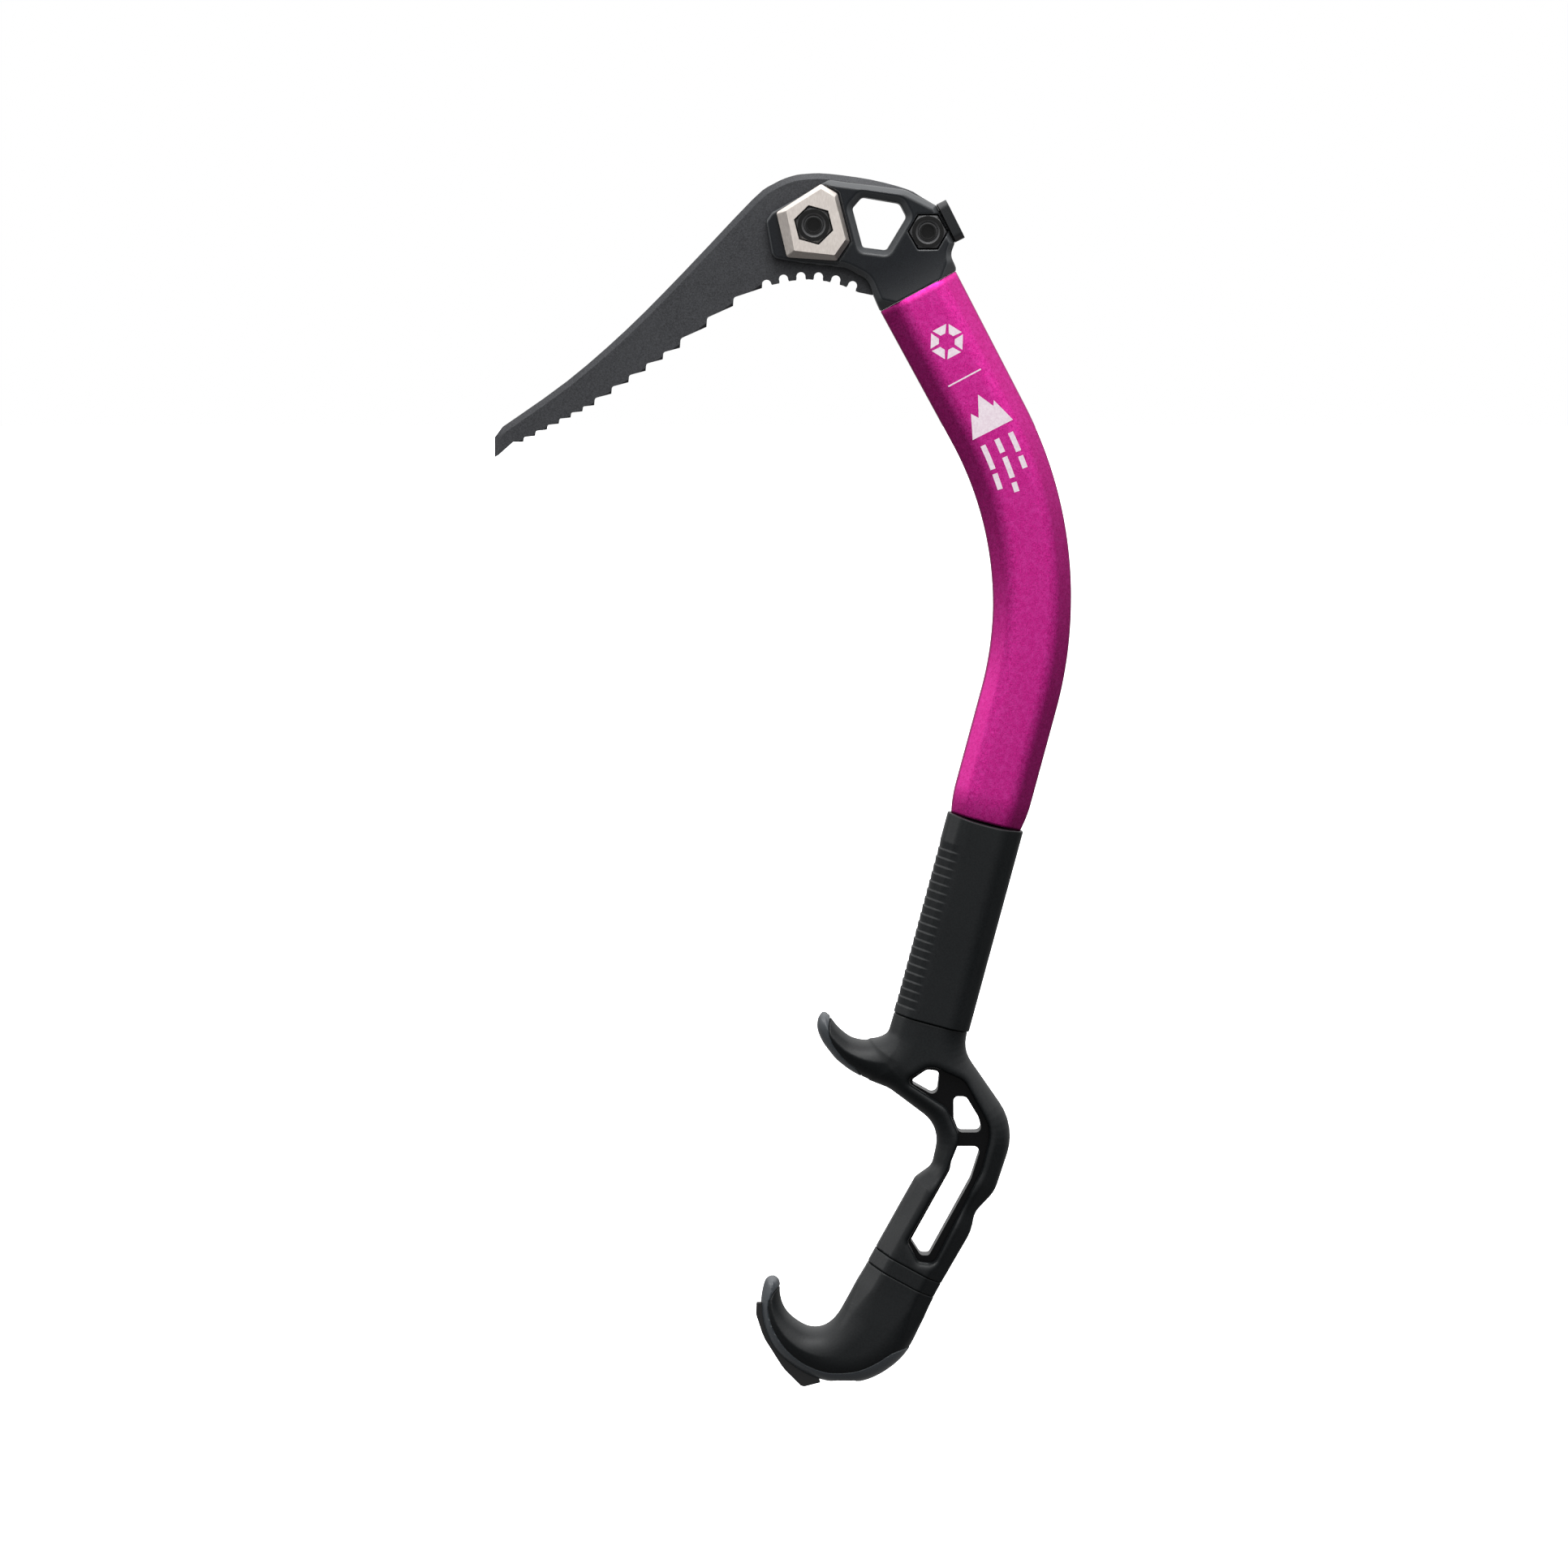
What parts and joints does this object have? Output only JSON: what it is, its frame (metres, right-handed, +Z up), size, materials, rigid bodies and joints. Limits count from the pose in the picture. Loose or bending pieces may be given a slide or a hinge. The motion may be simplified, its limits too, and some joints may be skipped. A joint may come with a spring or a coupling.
{
  "type": "ice axe",
  "caption": "Technical ice-climbing tool with a toothed pick, side weights, a small hammer, a bent oval shaft and a windowed handle with two hand rests.",
  "frame": {"origin": "centre of the window through the head, half way through its thickness", "axes": "+Z up along the hanging tool, with the pick's tip towards -X and the hammer towards +X; +Y is through the thickness, away from the pictured side"},
  "size_m": [0.2359, 0.0282, 0.4992],
  "materials": {
    "pick_steel": "dark grey coated steel, fine speckle",
    "head_alloy": "bluish-black satin anodised forging",
    "weight_steel": "warm grey blasted stainless steel",
    "black_steel": "black oxide",
    "shaft_alloy": "magenta anodised, fine sparkle",
    "grip_rubber": "matt black moulded rubber",
    "frame_plastic": "glossy black fibre-filled nylon",
    "rim_plastic": "bluish-black hard plastic",
    "pin_steel": "bright steel",
    "insert_brass": "turned brass"
  },
  "bodies": {
    "root": {"pick": "pick_steel", "head": "head_alloy", "pick_weight_near": "weight_steel", "pick_weight_far": "weight_steel", "pick_nut": "black_steel", "hammer": "black_steel", "hammer_nut": "black_steel", "shaft": "shaft_alloy", "upper_grip": "grip_rubber", "handle_frame": "frame_plastic", "handle_overmould": "grip_rubber", "handle_pins": "pin_steel", "trigger_rim": "rim_plastic", "pommel_insert": "insert_brass"},
    "pommel_unit": {"pommel_core": "frame_plastic", "pommel_grip": "grip_rubber", "pommel_rim": "rim_plastic", "spike": "black_steel", "spike_pins": "pin_steel", "spacer": "grip_rubber", "pommel_washer": "pin_steel"},
    "pommel_screw": {"pommel_bolt": "black_steel"},
    "pick_washer_ring": {"pick_washer": "black_steel"},
    "pick_screw": {"pick_bolt": "black_steel"},
    "hammer_washer_ring": {"hammer_washer": "black_steel"},
    "hammer_screw": {"hammer_bolt": "black_steel"}
  },
  "joints": [
    {"name": "pommel_slide", "type": "slide", "parent": "root", "child": "pommel_unit", "axis": [-0.4818, 0, -0.8763], "range_m": [0, 0.004]},
    {"name": "pommel_bolt_turn", "type": "hinge", "parent": "pommel_unit", "child": "pommel_screw", "pos_m": [0.01265, 0, -0.4276], "axis": [-0.4818, 0, -0.8763], "range_deg": [0, 1440]},
    {"name": "pick_washer_slide", "type": "slide", "parent": "root", "child": "pick_washer_ring", "axis": [0, 1, 0], "range_m": [0, 0.00375]},
    {"name": "pick_bolt_turn", "type": "hinge", "parent": "pick_washer_ring", "child": "pick_screw", "pos_m": [-0.0267, 0, -0.0003], "axis": [0, 1, 0], "range_deg": [0, 1080]},
    {"name": "hammer_washer_slide", "type": "slide", "parent": "root", "child": "hammer_washer_ring", "axis": [0, 1, 0], "range_m": [0, 0.00375]},
    {"name": "hammer_bolt_turn", "type": "hinge", "parent": "hammer_washer_ring", "child": "hammer_screw", "pos_m": [0.0198, 0, -0.003], "axis": [0, 1, 0], "range_deg": [0, 1080]}
  ],
  "couplings": [
    {"joint": "pommel_bolt_turn", "follows": "pommel_slide", "rad_per_m": 6283.2},
    {"joint": "pick_bolt_turn", "follows": "pick_washer_slide", "rad_per_m": 5026.5},
    {"joint": "hammer_bolt_turn", "follows": "hammer_washer_slide", "rad_per_m": 5026.5}
  ]
}
